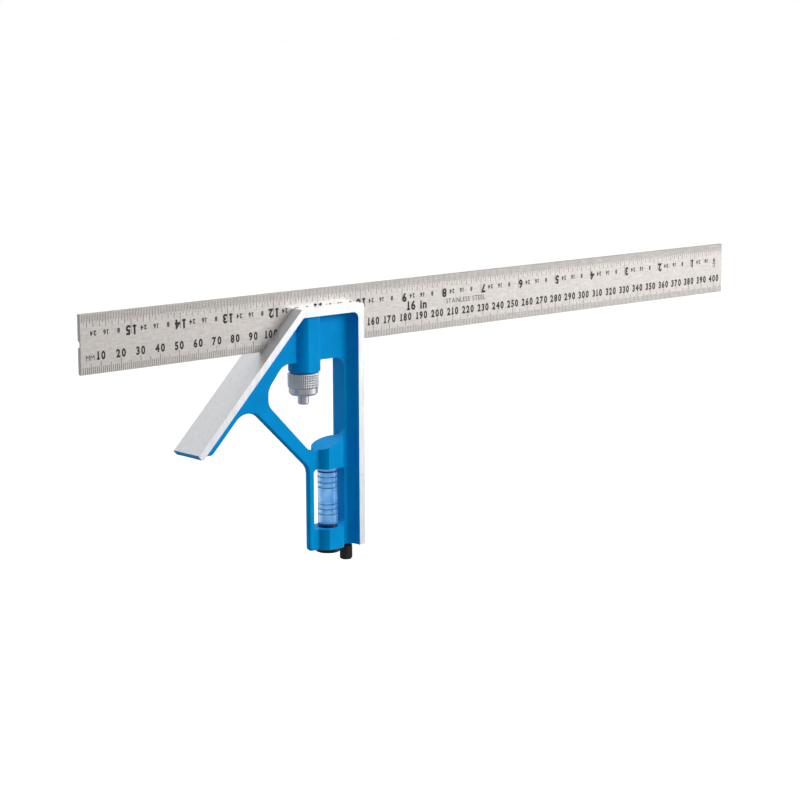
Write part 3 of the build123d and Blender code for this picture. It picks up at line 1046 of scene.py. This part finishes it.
# ------------------------------------------------------------------------------- studio
@dataclass
class Studio:
    """Camera, pale floor, surroundings, and the sun and softboxes that light them."""

    yaw: float = 41.882          # degrees from +Y towards +X that the camera looks
    elevation: float = 9.970     # degrees above the horizon that it stands
    roll: float = -0.201
    lens: float = 99.31          # millimetres on a 36 mm sensor
    aim: Point = (30.0 * MM, 0.0, -31.9 * MM)
    distance: float = 1034.3 * MM
    floor_half: float = 30.0
    floor_drop: float = 0.25     # metres from the object's lowest point down to the floor
    floor_colour: str = "F6F6F6"
    dark_side: float = 0.4       # brightness of the room behind the camera as a share of the far side
    far_side: Point = (0.7, 0.7, 0.0)    # level way from the camera towards that far side

    def camera(self) -> None:
        """Make the camera and set it as the scene's."""
        yaw, rise = math.radians(self.yaw), math.radians(self.elevation)
        look = Vector((math.sin(yaw) * math.cos(rise), math.cos(yaw) * math.cos(rise), -math.sin(rise)))
        right = Vector((math.cos(yaw), -math.sin(yaw), 0))
        level = Matrix((right, right.cross(look), -look)).transposed()
        turn = level @ Matrix.Rotation(math.radians(self.roll), 3, "Z")
        data = bpy.data.cameras.new("camera")
        data.lens = self.lens
        data.sensor_width = 36.0
        data.clip_end = 200.0
        camera = bpy.data.objects.new("camera", data)
        camera.matrix_world = Matrix.Translation(Vector(self.aim) - look * self.distance) @ turn.to_4x4()
        bpy.context.scene.collection.objects.link(camera)
        bpy.context.scene.camera = camera

    def floor(self) -> None:
        """Lay the floor well below the object, so that no shadow falls into the view."""
        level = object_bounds()[0].z - self.floor_drop
        half = self.floor_half
        corners = [(-half, -half, level), (half, -half, level), (half, half, level), (-half, half, level)]
        mesh = bpy.data.meshes.new("floor")
        mesh.from_pydata(corners, [], [(0, 1, 2, 3)])
        floor = bpy.data.objects.new("floor", mesh)
        bpy.context.scene.collection.objects.link(floor)
        material, tree, shader = new_material("white_paper")
        shader.inputs["Base Color"].default_value = linear(self.floor_colour)
        shader.inputs["Roughness"].default_value = 0.9
        shader.inputs["Specular IOR Level"].default_value = 0.2
        dress(floor, material)
        # The floor neither lights the object nor shows in its reflections; the room below it does both.
        floor.visible_diffuse = floor.visible_glossy = False
        floor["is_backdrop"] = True

    def surroundings(self) -> None:
        """Light the room: white at the horizon, greyer above and below it, dimmer behind the camera."""
        world = bpy.data.worlds.new("studio")
        bpy.context.scene.world = world
        world.use_nodes = True
        tree = world.node_tree
        tree.nodes.clear()
        way = add_node(tree, "ShaderNodeTexCoord").outputs["Generated"]
        parts = add_node(tree, "ShaderNodeSeparateXYZ", {0: way})
        height = add_node(tree, "ShaderNodeMapRange", {"Value": parts.outputs["Z"], "From Min": -1.0})
        dome = add_node(tree, "ShaderNodeValToRGB", {"Fac": height.outputs[0]})
        set_ramp(dome, [
            (0.0, grey(0.35)), (0.45, grey(0.45)), (0.48, grey(1.0)), (0.525, grey(1.0)), (0.57, grey(0.5)),
            (0.9, grey(0.42)),
        ])
        away = add_node(tree, "ShaderNodeVectorMath", {0: way, 1: self.far_side}, operation="DOT_PRODUCT")
        side = add_node(
            tree, "ShaderNodeMapRange", {"Value": away.outputs["Value"], "From Min": -0.8, "From Max": 0.5}
        )
        fall = add_node(tree, "ShaderNodeValToRGB", {"Fac": side.outputs[0]})
        set_ramp(fall, [(0.0, grey(self.dark_side)), (1.0, grey(1.0))])
        # The horizon stays white all round: the room only dims well above and below it.
        off_level = add_node(tree, "ShaderNodeMath", {0: parts.outputs["Z"]}, operation="ABSOLUTE")
        dimming = add_node(
            tree, "ShaderNodeMapRange", {"Value": off_level.outputs[0], "From Min": 0.06, "From Max": 0.2}
        )
        glow = add_node(
            tree, "ShaderNodeMix", {0: dimming.outputs[0], 6: dome.outputs[0], 7: fall.outputs[0]},
            data_type="RGBA", blend_type="MULTIPLY",
        )
        light = add_node(tree, "ShaderNodeBackground", {"Color": glow.outputs[2], "Strength": 1.0})
        add_node(tree, "ShaderNodeOutputWorld", {"Surface": light.outputs[0]})

    def softbox(self, name: str, place: Point, size: float, power: float) -> None:
        """Hang one square softbox that faces the object.

        Args:
            name: the light's name.
            place: where it hangs.
            size: length of its side in metres.
            power: its power in watts.
        """
        data = bpy.data.lights.new(name, "AREA")
        data.shape = "SQUARE"
        data.size = size
        data.energy = power
        lamp = bpy.data.objects.new(name, data)
        lamp.location = place
        lamp.rotation_euler = (Vector(self.aim) - Vector(place)).to_track_quat("-Z", "Y").to_euler()
        bpy.context.scene.collection.objects.link(lamp)

    def sun(self, power: float, spread: float) -> None:
        """Light the floor evenly from straight above.

        Args:
            power: strength in watts per square metre.
            spread: angle that the light seems to fill, in degrees.
        """
        data = bpy.data.lights.new("sun", "SUN")
        data.energy = power
        data.angle = math.radians(spread)
        bpy.context.scene.collection.objects.link(bpy.data.objects.new("sun", data))

    def build(self) -> None:
        """Make the camera, floor and lights."""
        bpy.context.scene.view_settings.view_transform = "Standard"
        self.camera()
        self.floor()
        self.surroundings()
        self.sun(power=2.5, spread=40.0)
        self.softbox("key", place=(2.65, -1.95, 0.0), size=1.8, power=14.5)
        self.softbox("fill", place=(1.2, -1.5, 0.8), size=1.0, power=22.0)
        self.softbox("back", place=(-0.25, 1.1, 0.95), size=0.9, power=1.3)


def main() -> None:
    """Build the combination square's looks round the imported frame."""
    logging.basicConfig(level=logging.INFO, format="%(message)s")
    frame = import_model()
    nodes = frame["nodes"]
    Studio().build()
    Head().build(nodes)
    Rule().build(nodes)
    Lock().build(nodes)
    Vial().build(nodes)
    Scriber().build(nodes)


if __name__ == "__main__":
    main()
